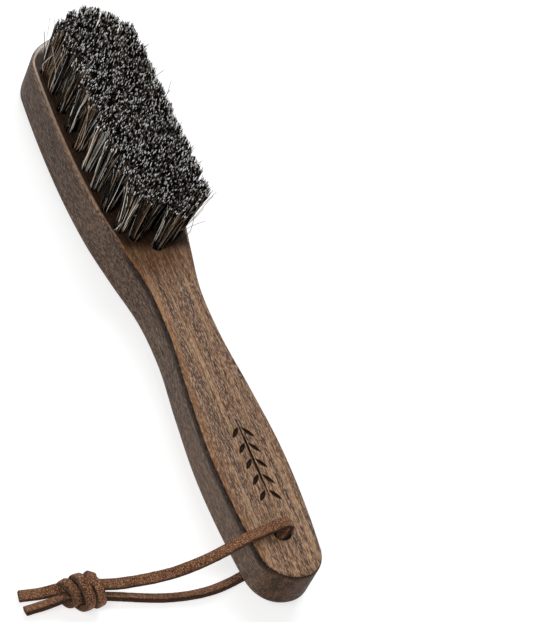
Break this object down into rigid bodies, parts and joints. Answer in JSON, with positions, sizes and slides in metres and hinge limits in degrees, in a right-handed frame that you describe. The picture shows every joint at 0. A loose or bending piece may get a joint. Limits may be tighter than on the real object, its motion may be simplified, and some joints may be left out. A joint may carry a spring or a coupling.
{
  "type": "clothes brush",
  "caption": "Hand-held clothes brush with a waisted wooden handle, tufts of dark horsehair and a knotted suede hanging lace.",
  "frame": {"origin": "under the middle of the wooden body, on the surface that its back rests on", "axes": "+X from the tip of the head to the end of the handle, +Y across the brush, +Z out of the front face, the way the bristles point"},
  "size_m": [0.25, 0.1034, 0.0412],
  "materials": {
    "walnut": "semi-matt oiled walnut",
    "horsehair": "mixed black and brown horsehair",
    "suede": "suede"
  },
  "bodies": {
    "brush": {"wooden_body": "walnut", "tuft_01": "horsehair", "tuft_02": "horsehair", "tuft_03": "horsehair", "tuft_04": "horsehair", "tuft_05": "horsehair", "tuft_06": "horsehair", "tuft_07": "horsehair", "tuft_08": "horsehair", "tuft_09": "horsehair", "tuft_10": "horsehair", "tuft_11": "horsehair", "tuft_12": "horsehair", "tuft_13": "horsehair", "tuft_14": "horsehair", "tuft_15": "horsehair", "tuft_16": "horsehair", "tuft_17": "horsehair", "tuft_18": "horsehair", "tuft_19": "horsehair", "tuft_20": "horsehair", "tuft_21": "horsehair", "tuft_22": "horsehair", "tuft_23": "horsehair", "tuft_24": "horsehair", "tuft_25": "horsehair", "tuft_26": "horsehair", "tuft_27": "horsehair", "tuft_28": "horsehair", "tuft_29": "horsehair", "tuft_30": "horsehair", "tuft_31": "horsehair", "tuft_32": "horsehair", "tuft_33": "horsehair", "tuft_34": "horsehair", "tuft_35": "horsehair", "tuft_36": "horsehair", "tuft_37": "horsehair", "tuft_38": "horsehair", "tuft_39": "horsehair", "tuft_40": "horsehair", "tuft_41": "horsehair", "tuft_42": "horsehair", "tuft_43": "horsehair", "tuft_44": "horsehair", "tuft_45": "horsehair", "tuft_46": "horsehair", "tuft_47": "horsehair", "tuft_48": "horsehair", "tuft_49": "horsehair"},
    "loop": {"lace_upper_leg": "suede", "lace_lower_leg": "suede", "lace_tail_inner": "suede", "lace_tail_outer": "suede", "lace_knot": "suede"}
  },
  "joints": [
    {"name": "loop_swivel", "type": "hinge", "parent": "brush", "child": "loop", "pos_m": [0.1075, 0, 0], "axis": [0, 0, 1], "range_deg": [-35, 205]}
  ]
}
